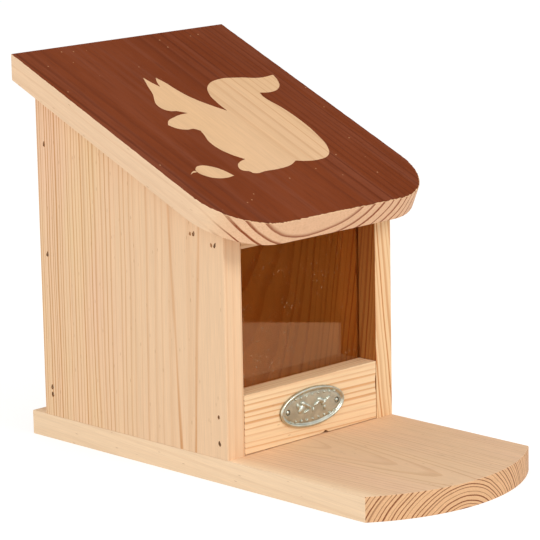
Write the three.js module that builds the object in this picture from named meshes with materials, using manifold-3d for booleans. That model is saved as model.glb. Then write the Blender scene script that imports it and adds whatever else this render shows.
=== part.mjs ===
// Squirrel feeder box: a pine box on a base board, with a clear front pane and a sloping roof that lifts.
// Millimetres, +Z up, the front faces -Y, the origin is under the middle of the base board.
import * as THREE from "three";
import { mergeVertices } from "three/addons/utils/BufferGeometryUtils.js";
import Module from "manifold-3d";

const wasm = await Module();
wasm.setup();

// Box body; heights are taken from the base board's top to the roof's underside
const BOX_WIDTH = 120;
const BOX_DEPTH = 139;
const BACK_HEIGHT = 180;
const FRONT_HEIGHT = 119;
const SIDE_THICKNESS = 12;
const BACK_THICKNESS = 12;

// Base board: straight sides, then a bowed front edge
const BASE_THICKNESS = 13;
const BASE_SIDE_LENGTH = 243.5;
const BASE_BOW = 20.5;
const BACK_LEDGE = 11;

// Roof board
const ROOF_THICKNESS = 12.5;
const ROOF_SIDE_OVERHANG = 15;
const ROOF_FRONT_OVERHANG = 26;
const ROOF_CORNER_RADIUS = 35;

// Front rail, and the two strips that hold the pane's top between them
const RAIL_HEIGHT = 31;
const RAIL_THICKNESS = 12;
const FRONT_STRIP_HEIGHT = 15;
const INNER_STRIP_HEIGHT = 20;
const INNER_STRIP_THICKNESS = 12;

// Clear pane in its saw kerfs
const PANE_THICKNESS = 2;
const PANE_CLEARANCE = 0.4;
const PANE_TOP_GAP = 1;
const KERF_DEPTH = 4;

// Butt hinges
const HINGE_LENGTH = 30;
const HINGE_OFFSET = 28;
const LEAF_THICKNESS = 1;
const LEAF_HEIGHT = 11.5;
const HINGE_PIN_RADIUS = 1;
const HINGE_PIN_END = 0.6;
const KNUCKLE_LENGTH = 9;
const KNUCKLE_GAP = 0.3;
const LEAF_SCREW_DROP = 7;
const LEAF_SCREW_SPREAD = 9.5;

// Keyhole plate on the back
const HANGER_WIDTH = 18;
const HANGER_HEIGHT = 48;
const HANGER_THICKNESS = 1.5;
const HANGER_SCREW_INSET = 6;
const KEYHOLE_RADIUS = 4.5;
const KEYHOLE_SLOT_RADIUS = 2.2;
const KEYHOLE_RISE = 11;
const KEYHOLE_DROP = 5;
const POCKET_MARGIN = 2;
const POCKET_DEPTH = 7;
const HANGER_HEIGHT_SHARE = 0.77;

// Oval plate on the rail
const BADGE_WIDTH = 46;
const BADGE_HEIGHT = 20.5;
const BADGE_THICKNESS = 1;
const BADGE_RIM_WIDTH = 1.6;
const BADGE_RIM_RISE = 0.7;
const BADGE_PIN_SPREAD = 17.7;
const BADGE_OFFSET = -0.5;
const BADGE_HEIGHT_SHARE = 0.53;

// Gaps: between nailed boards, under the roof, in a pin's bore and round a nail or screw
const SEAM = 0.1;
const ROOF_GAP = 0.3;
const PIN_CLEARANCE = 0.1;
const HOLE_CLEARANCE = 0.1;
const HEAD_GAP = 0.2;
const OVERRUN = 2;

// Fasteners
const BRAD = { shank: 0.6, head: 1.1, headHeight: 0.7, length: 25, tip: 1.5, seat: "flat" };
const HINGE_SCREW = { shank: 1.2, head: 2.2, headHeight: 1, length: 9, tip: 2.5, seat: "cone" };
const HANGER_SCREW = { shank: 1.4, head: 2.8, headHeight: 1.4, length: 9, tip: 2.5, seat: "cone" };
const BADGE_PIN = { shank: 0.6, head: 1.6, headHeight: 0.9, length: 10, tip: 1.2, seat: "dome" };
const BRAD_SINK = 0.5;
const DRIVE_WIDTH = 0.5;
const DRIVE_DEPTH = 0.5;
const DRIVE_SPAN_SHARE = 0.55;

// Where the nails sit, as shares of the board that they go into
const RAIL_BRAD_SHARES = [0.25, 0.7];
const BACK_BRAD_SHARES = [0.066, 0.483, 0.807];
const FRONT_STRIP_BRAD_SHARE = 0.3;
const INNER_STRIP_BRAD_SHARE = 0.35;
const BASE_BRAD_SHARES = [0.14, 0.5, 0.86];

// The left side's lowest back nail has a second one above it
const SECOND_BRAD_RISE = 3.6;

// Facets on a full circle
const FASTENER_SIDES = 8;
const SCREW_SIDES = 12;
const PIN_SIDES = 16;
const KNUCKLE_SIDES = 20;
const OVAL_SIDES = 48;
const ARC_STEPS = 12;

// Levels and faces worked out from the sizes above
const OVERALL_DEPTH = BASE_SIDE_LENGTH + BASE_BOW;
const BASE_BACK = OVERALL_DEPTH / 2;
const BASE_FRONT = -OVERALL_DEPTH / 2;
const BOX_BACK = BASE_BACK - BACK_LEDGE;
const BOX_FRONT = BOX_BACK - BOX_DEPTH;
const SLOPE = Math.atan2(BACK_HEIGHT - FRONT_HEIGHT, BOX_DEPTH);
const INNER_WIDTH = BOX_WIDTH - 2 * SIDE_THICKNESS;
const FLOOR = BASE_THICKNESS + SEAM;
const BOARD_FIT = INNER_WIDTH - 2 * SEAM;
const KERF_FRONT = BOX_FRONT + RAIL_THICKNESS;
const KERF_BACK = KERF_FRONT + PANE_THICKNESS + 2 * PANE_CLEARANCE;
const INNER_STRIP_FRONT = KERF_BACK + SEAM;
const KNUCKLE_RADIUS = HINGE_PIN_RADIUS + PIN_CLEARANCE + LEAF_THICKNESS;
const PIN_Y = BOX_BACK + SEAM + KNUCKLE_RADIUS;
const PIN_Z = BASE_THICKNESS + BACK_HEIGHT - ROOF_GAP / 2;
const HANGER_Z = BASE_THICKNESS + HANGER_HEIGHT_SHARE * BACK_HEIGHT;
const BADGE_Z = BASE_THICKNESS + BADGE_HEIGHT_SHARE * RAIL_HEIGHT;

// Height of the roof's underside at a depth
function underRoof(y) {
  return BASE_THICKNESS + BACK_HEIGHT - Math.tan(SLOPE) * (BOX_BACK - y);
}

// Finishes
const finish = (color, roughness, metalness = 0) => ({ color, roughness, metalness });
const PINE = finish(0xecc59b, 0.62);
const PAINTED_PINE = finish(0x7b3e28, 0.5);
const STEEL = finish(0xb9bbbd, 0.35, 1);
const PEWTER = finish(0xa89f8f, 0.42, 0.9);
const CLEAR = { ...finish(0xf4f7f6, 0.05), transparent: true, opacity: 0.25 };

function part(name, geometry, look) {
  const mesh = new THREE.Mesh(geometry, new THREE.MeshStandardMaterial(look));
  mesh.name = name;
  return mesh;
}

// Closed geometry to solid and back, so that pieces can be cut and joined
function toSolid(geometry) {
  const bare = geometry.index ? geometry.toNonIndexed() : geometry.clone();
  bare.deleteAttribute("normal");
  bare.deleteAttribute("uv");
  const merged = mergeVertices(bare);
  const mesh = new wasm.Mesh({
    numProp: 3,
    vertProperties: merged.attributes.position.array,
    triVerts: new Uint32Array(merged.index.array),
  });
  return new wasm.Manifold(mesh);
}

function toGeometry(solid) {
  const mesh = solid.getMesh();
  const geometry = new THREE.BufferGeometry();
  geometry.setAttribute("position", new THREE.BufferAttribute(mesh.vertProperties, mesh.numProp));
  geometry.setIndex(new THREE.BufferAttribute(mesh.triVerts, 1));
  geometry.computeVertexNormals();
  return geometry;
}

function cut(geometry, tools) {
  let solid = toSolid(geometry);
  for (const tool of tools) solid = solid.subtract(toSolid(tool));
  return toGeometry(solid);
}

function join(geometries) {
  return toGeometry(geometries.map(toSolid).reduce((whole, piece) => whole.add(piece)));
}

// A block between two values on each axis
function block([x0, x1], [y0, y1], [z0, z1]) {
  const geometry = new THREE.BoxGeometry(x1 - x0, y1 - y0, z1 - z0);
  return geometry.translate((x0 + x1) / 2, (y0 + y1) / 2, (z0 + z1) / 2);
}

// A side outline of [y, z] points drawn out between two x values
function drawnOut(outline, [x0, x1]) {
  const shape = new THREE.Shape(outline.map(([y, z]) => new THREE.Vector2(y, z)));
  const geometry = new THREE.ExtrudeGeometry(shape, { depth: x1 - x0, bevelEnabled: false });
  const turn = new THREE.Matrix4().makeBasis(
    new THREE.Vector3(0, 1, 0),
    new THREE.Vector3(0, 0, 1),
    new THREE.Vector3(1, 0, 0),
  );
  return geometry.applyMatrix4(turn).translate(x0, 0, 0);
}

// A round bar along X; a bore keeps its flats at the radius instead of its corners
function barAlongX(radius, length, sides) {
  return new THREE.CylinderGeometry(radius, radius, length, sides).rotateZ(Math.PI / 2);
}

function boreRadius(radius, sides) {
  return radius / Math.cos(Math.PI / sides);
}

// Fasteners stand with the head's top at the origin, facing +Y
function fastenerOutline(form) {
  const { shank, head, headHeight, length, tip, seat } = form;
  const outline = [[0, -length], [shank, tip - length], [shank, -headHeight]];
  if (seat === "flat") outline.push([head, -headHeight], [head, 0]);
  if (seat === "cone") outline.push([head, 0]);
  if (seat === "dome") {
    outline.push([head, -headHeight]);
    const bend = Math.PI / FASTENER_SIDES;
    for (let a = bend; a < Math.PI / 2 - bend / 2; a += bend) {
      outline.push([head * Math.cos(a), headHeight * (Math.sin(a) - 1)]);
    }
  }
  outline.push([0, 0]);
  return outline;
}

// The hole for a fastener, wider all round by the clearance and open past its head
function holeOutline(form) {
  const { shank, head, headHeight, length, seat } = form;
  const wide = shank + HOLE_CLEARANCE;
  const end = -length - HOLE_CLEARANCE;
  const outline = [[0, end], [wide, end]];
  if (seat === "dome") outline.push([wide, OVERRUN]);
  if (seat === "flat") {
    const shoulder = -headHeight - HOLE_CLEARANCE;
    outline.push([wide, shoulder], [head + HOLE_CLEARANCE, shoulder], [head + HOLE_CLEARANCE, OVERRUN]);
  }
  if (seat === "cone") {
    outline.push([wide, -headHeight - HOLE_CLEARANCE], [head + HOLE_CLEARANCE, 0]);
    outline.push([head + HOLE_CLEARANCE, OVERRUN]);
  }
  outline.push([0, OVERRUN]);
  return outline;
}

function turned(outline, sides) {
  return new THREE.LatheGeometry(outline.map(([r, h]) => new THREE.Vector2(r, h)), sides);
}

function sidesOf(form) {
  return form.seat === "cone" ? SCREW_SIDES : FASTENER_SIDES;
}

// A cross cut in a screw's head for the driver
function driveCross(form) {
  const reach = form.head * DRIVE_SPAN_SHARE;
  const arm = [-DRIVE_WIDTH / 2, DRIVE_WIDTH / 2];
  const depth = [-DRIVE_DEPTH, OVERRUN];
  return [block([-reach, reach], depth, arm), block(arm, depth, [-reach, reach])];
}

function facingTurn(facing) {
  return new THREE.Quaternion().setFromUnitVectors(new THREE.Vector3(0, 1, 0), facing);
}

const SIDES = [["left", -1], ["right", 1]];
const LEFTWARD = new THREE.Vector3(-1, 0, 0);
const RIGHTWARD = new THREE.Vector3(1, 0, 0);
const FORWARD = new THREE.Vector3(0, -1, 0);
const BACKWARD = new THREE.Vector3(0, 1, 0);
const DOWNWARD = new THREE.Vector3(0, 0, -1);

// Every fastener: its name, form, head place, facing, and the pieces that it is driven through
function sideBrads(sideName, side) {
  const rail = RAIL_BRAD_SHARES.map((share) => ({
    y: BOX_FRONT + RAIL_THICKNESS / 2,
    z: BASE_THICKNESS + share * RAIL_HEIGHT,
    into: "front_rail",
  }));
  const back = BACK_BRAD_SHARES.map((share) => ({
    y: BOX_BACK - BACK_THICKNESS / 2,
    z: BASE_THICKNESS + share * BACK_HEIGHT,
    into: "back_panel",
  }));
  const strips = [
    {
      y: BOX_FRONT + RAIL_THICKNESS / 2,
      z: underRoof(BOX_FRONT) - (1 - FRONT_STRIP_BRAD_SHARE) * FRONT_STRIP_HEIGHT,
      into: "front_top_strip",
    },
    {
      y: INNER_STRIP_FRONT + INNER_STRIP_THICKNESS / 2,
      z: underRoof(INNER_STRIP_FRONT) - (1 - INNER_STRIP_BRAD_SHARE) * INNER_STRIP_HEIGHT,
      into: "inner_top_strip",
    },
  ];
  const places = [...rail, ...strips, ...back];
  if (side < 0) places.push({ ...back[0], z: back[0].z + SECOND_BRAD_RISE });
  return places.map(({ y, z, into }, i) => ({
    name: `${sideName}_side_brad_${i + 1}`,
    form: BRAD,
    at: new THREE.Vector3(side * (BOX_WIDTH / 2 - BRAD_SINK), y, z),
    facing: side < 0 ? LEFTWARD : RIGHTWARD,
    through: [`${sideName}_side_panel`, into],
  }));
}

function baseBrads() {
  const places = [
    { x: 0, y: BOX_FRONT + RAIL_THICKNESS / 2, into: "front_rail" },
    { x: 0, y: BOX_BACK - BACK_THICKNESS / 2, into: "back_panel" },
  ];
  for (const [sideName, side] of SIDES) {
    for (const share of BASE_BRAD_SHARES) {
      const x = (side * (BOX_WIDTH - SIDE_THICKNESS)) / 2;
      places.push({ x, y: BOX_FRONT + share * BOX_DEPTH, into: `${sideName}_side_panel` });
    }
  }
  return places.map(({ x, y, into }, i) => ({
    name: `base_brad_${i + 1}`,
    form: BRAD,
    at: new THREE.Vector3(x, y, BRAD_SINK),
    facing: DOWNWARD,
    through: ["base_board", into],
  }));
}

function leafScrews(sideName, side, leaf) {
  const up = leaf === "upper";
  const z = PIN_Z + (up ? LEAF_SCREW_DROP : -LEAF_SCREW_DROP);
  return [-1, 1].map((end, i) => ({
    name: `${sideName}_hinge_${leaf}_screw_${i + 1}`,
    form: HINGE_SCREW,
    at: new THREE.Vector3(
      side * HINGE_OFFSET + end * LEAF_SCREW_SPREAD,
      BOX_BACK + SEAM + LEAF_THICKNESS,
      z,
    ),
    facing: BACKWARD,
    through: [`${sideName}_hinge_${leaf}_leaf`, up ? "roof_board" : "back_panel"],
  }));
}

function hangerScrews() {
  const reach = HANGER_HEIGHT / 2 - HANGER_SCREW_INSET;
  return [["upper", reach], ["lower", -reach]].map(([end, rise]) => ({
    name: `hanger_screw_${end}`,
    form: HANGER_SCREW,
    at: new THREE.Vector3(0, BOX_BACK + SEAM + HANGER_THICKNESS, HANGER_Z + rise),
    facing: BACKWARD,
    through: ["hanger_plate", "back_panel"],
  }));
}

function badgePins() {
  const face = BOX_FRONT - SEAM - BADGE_THICKNESS;
  return SIDES.map(([sideName, side]) => ({
    name: `badge_pin_${sideName}`,
    form: BADGE_PIN,
    at: new THREE.Vector3(
      BADGE_OFFSET + side * BADGE_PIN_SPREAD,
      face - HEAD_GAP - BADGE_PIN.headHeight,
      BADGE_Z,
    ),
    facing: FORWARD,
    through: ["badge_plate", "front_rail"],
  }));
}

const boxFasteners = [
  ...SIDES.flatMap(([sideName, side]) => sideBrads(sideName, side)),
  ...baseBrads(),
  ...SIDES.flatMap(([sideName, side]) => leafScrews(sideName, side, "lower")),
  ...hangerScrews(),
  ...badgePins(),
];
const lidFasteners = SIDES.flatMap(([sideName, side]) => leafScrews(sideName, side, "upper"));

// Cuts every fastener's hole out of a piece that is still in the part's own frame
function drilled(name, geometry) {
  const tools = [...boxFasteners, ...lidFasteners]
    .filter(({ through }) => through.includes(name))
    .map(({ form, at, facing }) =>
      turned(holeOutline(form), sidesOf(form))
        .applyQuaternion(facingTurn(facing))
        .translate(at.x, at.y, at.z),
    );
  return cut(geometry, tools);
}

function fastener({ name, form, at, facing }) {
  const plain = turned(fastenerOutline(form), sidesOf(form));
  const geometry = form.seat === "cone" ? cut(plain, driveCross(form)) : plain;
  const mesh = part(name, geometry, form === BADGE_PIN ? PEWTER : STEEL);
  mesh.position.copy(at);
  mesh.quaternion.copy(facingTurn(facing));
  return mesh;
}

// Base board with its bowed front
function baseBoard() {
  const half = BOX_WIDTH / 2;
  const bowRadius = (half * half + BASE_BOW * BASE_BOW) / (2 * BASE_BOW);
  const spread = Math.asin(half / bowRadius);
  const shape = new THREE.Shape();
  shape.moveTo(-half, BASE_BACK);
  shape.lineTo(-half, BASE_FRONT + BASE_BOW);
  shape.absarc(0, BASE_FRONT + bowRadius, bowRadius, -Math.PI / 2 - spread, -Math.PI / 2 + spread);
  shape.lineTo(half, BASE_BACK);
  const geometry = new THREE.ExtrudeGeometry(shape, {
    depth: BASE_THICKNESS,
    bevelEnabled: false,
    curveSegments: ARC_STEPS,
  });
  return part("base_board", drilled("base_board", geometry), PINE);
}

// Side panel with the kerf that the pane slides in
function sidePanel(sideName, side) {
  const outline = [
    [BOX_BACK, FLOOR],
    [BOX_BACK, underRoof(BOX_BACK) - ROOF_GAP],
    [BOX_FRONT, underRoof(BOX_FRONT) - ROOF_GAP],
    [BOX_FRONT, FLOOR],
  ];
  const outer = (side * BOX_WIDTH) / 2;
  const inner = (side * INNER_WIDTH) / 2;
  const board = drawnOut(outline, [Math.min(outer, inner), Math.max(outer, inner)]);
  const kerfEnds = [inner + side * KERF_DEPTH, inner - side * OVERRUN];
  const kerf = block(
    [Math.min(...kerfEnds), Math.max(...kerfEnds)],
    [KERF_FRONT, KERF_BACK],
    [BASE_THICKNESS - OVERRUN, BASE_THICKNESS + BACK_HEIGHT + OVERRUN],
  );
  const name = `${sideName}_side_panel`;
  return part(name, drilled(name, cut(board, [kerf])), PINE);
}

// Back panel between the sides, its top cut to the slope, with a pocket behind the keyhole
function backPanel() {
  const front = BOX_BACK - BACK_THICKNESS;
  const outline = [
    [BOX_BACK, FLOOR],
    [BOX_BACK, underRoof(BOX_BACK) - ROOF_GAP],
    [front, underRoof(front) - ROOF_GAP],
    [front, FLOOR],
  ];
  const board = drawnOut(outline, [-BOARD_FIT / 2, BOARD_FIT / 2]);
  const pocket = keyholeTool(KEYHOLE_RADIUS + POCKET_MARGIN, KEYHOLE_RADIUS + POCKET_MARGIN, [
    BOX_BACK - POCKET_DEPTH,
    BOX_BACK + OVERRUN,
  ]);
  return part("back_panel", drilled("back_panel", cut(board, [pocket])), PINE);
}

function frontRail() {
  const board = block(
    [-BOARD_FIT / 2, BOARD_FIT / 2],
    [BOX_FRONT, BOX_FRONT + RAIL_THICKNESS],
    [FLOOR, BASE_THICKNESS + RAIL_HEIGHT],
  );
  return part("front_rail", drilled("front_rail", board), PINE);
}

// A strip under the roof across the front, its top cut to the slope
function topStrip(name, [front, back], height) {
  const foot = underRoof(front) - height;
  const outline = [
    [back, foot],
    [back, underRoof(back) - ROOF_GAP],
    [front, underRoof(front) - ROOF_GAP],
    [front, foot],
  ];
  return part(name, drilled(name, drawnOut(outline, [-BOARD_FIT / 2, BOARD_FIT / 2])), PINE);
}

function windowPane() {
  const reach = INNER_WIDTH / 2 + KERF_DEPTH - PANE_CLEARANCE;
  const front = KERF_FRONT + PANE_CLEARANCE;
  const pane = block(
    [-reach, reach],
    [front, front + PANE_THICKNESS],
    [FLOOR, underRoof(front) - PANE_TOP_GAP],
  );
  return part("window_pane", pane, CLEAR);
}

// Roof board: round front corners, front end square to the board, back end cut upright
function roofBoard() {
  const half = BOX_WIDTH / 2 + ROOF_SIDE_OVERHANG;
  const corner = ROOF_CORNER_RADIUS;
  const frontY = BOX_FRONT - ROOF_FRONT_OVERHANG + ROOF_THICKNESS * Math.sin(SLOPE);
  const length = (BOX_BACK - frontY) / Math.cos(SLOPE) + ROOF_THICKNESS * Math.tan(SLOPE) + OVERRUN;
  const shape = new THREE.Shape();
  shape.moveTo(-half, length);
  shape.lineTo(-half, corner);
  shape.absarc(corner - half, corner, corner, -Math.PI, -Math.PI / 2);
  shape.lineTo(half - corner, 0);
  shape.absarc(half - corner, corner, corner, -Math.PI / 2, 0);
  shape.lineTo(half, length);
  const slab = new THREE.ExtrudeGeometry(shape, {
    depth: ROOF_THICKNESS,
    bevelEnabled: false,
    curveSegments: ARC_STEPS,
  });
  slab.rotateX(SLOPE).translate(0, frontY, underRoof(frontY));
  const offcut = block(
    [-half - OVERRUN, half + OVERRUN],
    [BOX_BACK, BOX_BACK + length],
    [BASE_THICKNESS, BASE_THICKNESS + BACK_HEIGHT + length],
  );
  return part("roof_board", drilled("roof_board", cut(slab, [offcut])), PAINTED_PINE);
}

// One hinge leaf: a plate rolled round the pin, notched where the other leaf's knuckles turn
function hingeLeaf(sideName, side, leaf) {
  const up = leaf === "upper";
  const middle = side * HINGE_OFFSET;
  const half = HINGE_LENGTH / 2;
  const face = BOX_BACK + SEAM;
  const plate = block(
    [middle - half, middle + half],
    [face, face + LEAF_THICKNESS],
    up ? [PIN_Z, PIN_Z + LEAF_HEIGHT] : [PIN_Z - LEAF_HEIGHT, PIN_Z],
  );
  const roll = barAlongX(KNUCKLE_RADIUS, HINGE_LENGTH, KNUCKLE_SIDES).translate(middle, PIN_Y, PIN_Z);
  const bore = barAlongX(
    boreRadius(HINGE_PIN_RADIUS + PIN_CLEARANCE, PIN_SIDES),
    HINGE_LENGTH + OVERRUN,
    PIN_SIDES,
  ).translate(middle, PIN_Y, PIN_Z);
  const clear = KNUCKLE_RADIUS + KNUCKLE_GAP;
  const inner = half - KNUCKLE_LENGTH;
  const stretches = up
    ? [[-half - OVERRUN, -inner + KNUCKLE_GAP], [inner - KNUCKLE_GAP, half + OVERRUN]]
    : [[-inner, inner]];
  const notches = stretches.map(([from, to]) =>
    block(
      [middle + from, middle + to],
      [face - OVERRUN, PIN_Y + clear + OVERRUN],
      [PIN_Z - clear, PIN_Z + clear],
    ),
  );
  const name = `${sideName}_hinge_${leaf}_leaf`;
  return part(name, drilled(name, cut(join([plate, roll]), [bore, ...notches])), STEEL);
}

function hingePin(sideName, side) {
  const length = HINGE_LENGTH + 2 * HINGE_PIN_END;
  const mesh = part(`${sideName}_hinge_pin`, barAlongX(HINGE_PIN_RADIUS, length, PIN_SIDES), STEEL);
  mesh.position.set(side * HINGE_OFFSET, PIN_Y, PIN_Z);
  return mesh;
}

// A keyhole outline through a range of depths: a round entry with a slot that rises from it
function keyholeTool(entryRadius, slotRadius, [y0, y1]) {
  const entryZ = HANGER_Z - KEYHOLE_DROP;
  const topZ = entryZ + KEYHOLE_RISE;
  const disc = (radius, z) =>
    new THREE.CylinderGeometry(radius, radius, y1 - y0, PIN_SIDES).translate(0, (y0 + y1) / 2, z);
  const slot = block([-slotRadius, slotRadius], [y0, y1], [entryZ, topZ]);
  return join([disc(entryRadius, entryZ), slot, disc(slotRadius, topZ)]);
}

function hangerPlate() {
  const face = BOX_BACK + SEAM;
  const depth = [face, face + HANGER_THICKNESS];
  const half = HANGER_WIDTH / 2;
  const straight = HANGER_HEIGHT / 2 - half;
  const end = (rise) =>
    new THREE.CylinderGeometry(half, half, HANGER_THICKNESS, KNUCKLE_SIDES).translate(
      0,
      face + HANGER_THICKNESS / 2,
      HANGER_Z + rise,
    );
  const blank = join([
    block([-half, half], depth, [HANGER_Z - straight, HANGER_Z + straight]),
    end(straight),
    end(-straight),
  ]);
  const through = [face - OVERRUN, face + HANGER_THICKNESS + OVERRUN];
  const keyhole = keyholeTool(KEYHOLE_RADIUS, KEYHOLE_SLOT_RADIUS, through);
  return part("hanger_plate", drilled("hanger_plate", cut(blank, [keyhole])), STEEL);
}

// Oval plate with a raised rim
function badgePlate() {
  const oval = (inset) => {
    const shape = new THREE.Shape();
    shape.absellipse(0, 0, BADGE_WIDTH / 2 - inset, BADGE_HEIGHT / 2 - inset, 0, 2 * Math.PI);
    return shape;
  };
  const drawn = (shape, depth) =>
    new THREE.ExtrudeGeometry(shape, { depth, bevelEnabled: false, curveSegments: OVAL_SIDES / 2 });
  const rim = oval(0);
  rim.holes.push(oval(BADGE_RIM_WIDTH));
  const plate = join([drawn(oval(0), BADGE_THICKNESS), drawn(rim, BADGE_THICKNESS + BADGE_RIM_RISE)]);
  plate.rotateX(Math.PI / 2).translate(BADGE_OFFSET, BOX_FRONT - SEAM, BADGE_Z);
  return part("badge_plate", drilled("badge_plate", plate), PEWTER);
}

// The box: everything that stays still
const box = new THREE.Group();
box.add(baseBoard(), backPanel(), frontRail(), windowPane(), hangerPlate(), badgePlate());
box.add(topStrip("front_top_strip", [BOX_FRONT, KERF_FRONT], FRONT_STRIP_HEIGHT));
const innerStripDepth = [INNER_STRIP_FRONT, INNER_STRIP_FRONT + INNER_STRIP_THICKNESS];
box.add(topStrip("inner_top_strip", innerStripDepth, INNER_STRIP_HEIGHT));
for (const [sideName, side] of SIDES) {
  box.add(sidePanel(sideName, side));
  box.add(hingeLeaf(sideName, side, "lower"));
  box.add(hingePin(sideName, side));
}
box.add(...boxFasteners.map(fastener));

// The lid: everything that swings on the hinge pins, held in a group that sits on their line
const lid = new THREE.Group();
lid.position.set(0, PIN_Y, PIN_Z);
const lidParts = [roofBoard(), ...lidFasteners.map(fastener)];
for (const [sideName, side] of SIDES) lidParts.push(hingeLeaf(sideName, side, "upper"));
for (const piece of lidParts) {
  piece.position.sub(lid.position);
  lid.add(piece);
}

const feeder = new THREE.Group();
feeder.add(box, lid);
export default feeder;
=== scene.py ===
import random
from functools import cache, partial
from math import asin, cos, degrees, pi, radians, sin, sqrt, tan

import bmesh
import bpy
from bpy.props import FloatProperty, FloatVectorProperty, PointerProperty
from mathutils import Euler, Matrix, Vector


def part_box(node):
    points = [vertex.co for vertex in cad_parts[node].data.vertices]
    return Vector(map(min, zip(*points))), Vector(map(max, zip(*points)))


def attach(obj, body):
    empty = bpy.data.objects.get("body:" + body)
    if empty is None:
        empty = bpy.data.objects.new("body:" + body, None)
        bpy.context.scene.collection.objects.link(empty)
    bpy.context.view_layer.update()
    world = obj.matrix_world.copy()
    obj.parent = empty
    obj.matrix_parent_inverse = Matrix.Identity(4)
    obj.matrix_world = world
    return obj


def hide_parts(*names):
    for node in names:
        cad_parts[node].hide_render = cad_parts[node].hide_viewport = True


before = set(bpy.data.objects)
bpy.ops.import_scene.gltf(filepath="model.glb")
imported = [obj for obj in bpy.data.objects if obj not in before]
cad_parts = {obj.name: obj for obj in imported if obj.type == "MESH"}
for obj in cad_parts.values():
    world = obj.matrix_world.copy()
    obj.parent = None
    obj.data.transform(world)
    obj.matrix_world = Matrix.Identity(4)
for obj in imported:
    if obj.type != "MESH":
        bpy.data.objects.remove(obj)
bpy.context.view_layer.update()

bl_info = {
    "name": "Squirrel feeder box",
    "version": (1, 0, 0),
    "blender": (4, 5, 0),
    "location": "View3D > Sidebar > Feeder",
    "description": "Builds the visible boards, paint, pane and fittings of a squirrel feeder round its fixed frame",
    "category": "Object",
}

MM = 0.001
X, Y, Z = Vector((1, 0, 0)), Vector((0, 1, 0)), Vector((0, 0, 1))
ROOF_SLOPE = radians(23.694)
UP_SLOPE = Vector((0, cos(ROOF_SLOPE), sin(ROOF_SLOPE)))
OFF_ROOF = Vector((0, -sin(ROOF_SLOPE), cos(ROOF_SLOPE)))
# These turn what points up to the front, or to the back
TO_FRONT = Matrix.Rotation(pi / 2, 4, "X")
TO_BACK = Z.rotation_difference(Y).to_matrix().to_4x4()
SIDES = {"left": -1, "right": 1}
# Along Y: the pane's front face, and the middle of the kerf that holds it
PANE_FRONT = -5.6 * MM
KERF_MIDDLE = -4.65 * MM
# Where the visible pieces leave the frame on purpose: the kerf's gaps before and behind the pane, how deep the walls'
# feet are let into the base board, how far the joint under the rail is open, and how much higher the strip ends
GAP_BEFORE, GAP_BEHIND = 0.3 * MM, 0.2 * MM
LET_IN = 0.08 * MM
OPEN_JOINT = 0.2 * MM
STRIP_RAISED = 1.5 * MM
# How much the edges of sheet are eased, and how near two points are when they are one
SHEET_EDGE = 0.15 * MM
WELD = 0.001 * MM


def linear(code):
    """The linear colour, with full alpha, of an sRGB hex value."""
    parts = [int(code[i : i + 2], 16) / 255 for i in (1, 3, 5)]
    return [*(p / 12.92 if p <= 0.04045 else ((p + 0.055) / 1.055) ** 2.4 for p in parts), 1.0]


class FeederSizes(bpy.types.PropertyGroup):
    """Sizes of the visible pieces that a user would change"""

    edge_round: FloatProperty(
        name="Edge rounding", description="Radius sanded on each board's edges", default=0.45 * MM, unit="LENGTH"
    )
    base_bow: FloatProperty(
        name="Base bow", description="How far the base board's front edge bows out", default=20.5 * MM, unit="LENGTH"
    )
    roof_corner: FloatProperty(
        name="Roof corner", description="Radius of the roof's two front corners", default=35 * MM, unit="LENGTH"
    )
    roof_thickness: FloatProperty(
        name="Roof thickness", description="Thickness of the roof board", default=12.5 * MM, unit="LENGTH"
    )
    kerf_depth: FloatProperty(
        name="Kerf depth", description="Depth of the saw kerf that holds the pane", default=4 * MM, unit="LENGTH"
    )
    paint_film: FloatProperty(
        name="Paint film", description="Thickness of the roof's paint", default=0.06 * MM, unit="LENGTH"
    )


class FeederColours(bpy.types.PropertyGroup):
    """Colours that a user would change"""

    paint: FloatVectorProperty(
        name="Roof paint", description="Main colour of the roof's paint", default=linear("#7A3510"), size=4,
        subtype="COLOR", min=0, max=1,
    )
    # The pane's warm tint is painted shade on the box's inside seen through it
    acrylic: FloatVectorProperty(
        name="Pane", description="Tint of the clear pane", default=linear("#FFECC6"), size=4, subtype="COLOR",
        min=0, max=1,
    )


class FeederLight(bpy.types.PropertyGroup):
    """Levels of the studio light"""

    sky: FloatProperty(name="Sky", description="Strength of the even light from all round", default=0.69, min=0)
    floor: FloatProperty(name="Floor", description="Strength of the light from the white floor", default=0.3, min=0)
    key: FloatProperty(name="Key", description="Power of the large soft lamp at the left", default=7.3, unit="POWER")
    fill: FloatProperty(name="Fill", description="Power of the soft lamp in front", default=10.2, unit="POWER")


GROUPS = {"feeder_sizes": FeederSizes, "feeder_colours": FeederColours, "feeder_light": FeederLight}


def add_node(tree, kind, inputs=(), **settings):
    """Adds a node with its settings. A kind may end in its operation. The inputs, by name or in order, are values,
    sockets or nodes to link from."""
    kind, _, operation = kind.partition(" ")
    node = tree.nodes.new("ShaderNode" + kind)
    if operation:
        node.operation = operation
    for name, value in settings.items():
        setattr(node, name, value)
    for name, value in inputs.items() if isinstance(inputs, dict) else enumerate(inputs):
        if isinstance(value, bpy.types.Node):
            value = next(socket for socket in value.outputs if socket.enabled)
        if isinstance(value, bpy.types.NodeSocket):
            tree.links.new(value, node.inputs[name])
        else:
            node.inputs[name].default_value = value
    return node


def new_material(name):
    """An empty material, and what adds a node to it."""
    material = bpy.data.materials.new(name)
    material.use_nodes = True
    material.node_tree.nodes.clear()
    return material, partial(add_node, material.node_tree)


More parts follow.
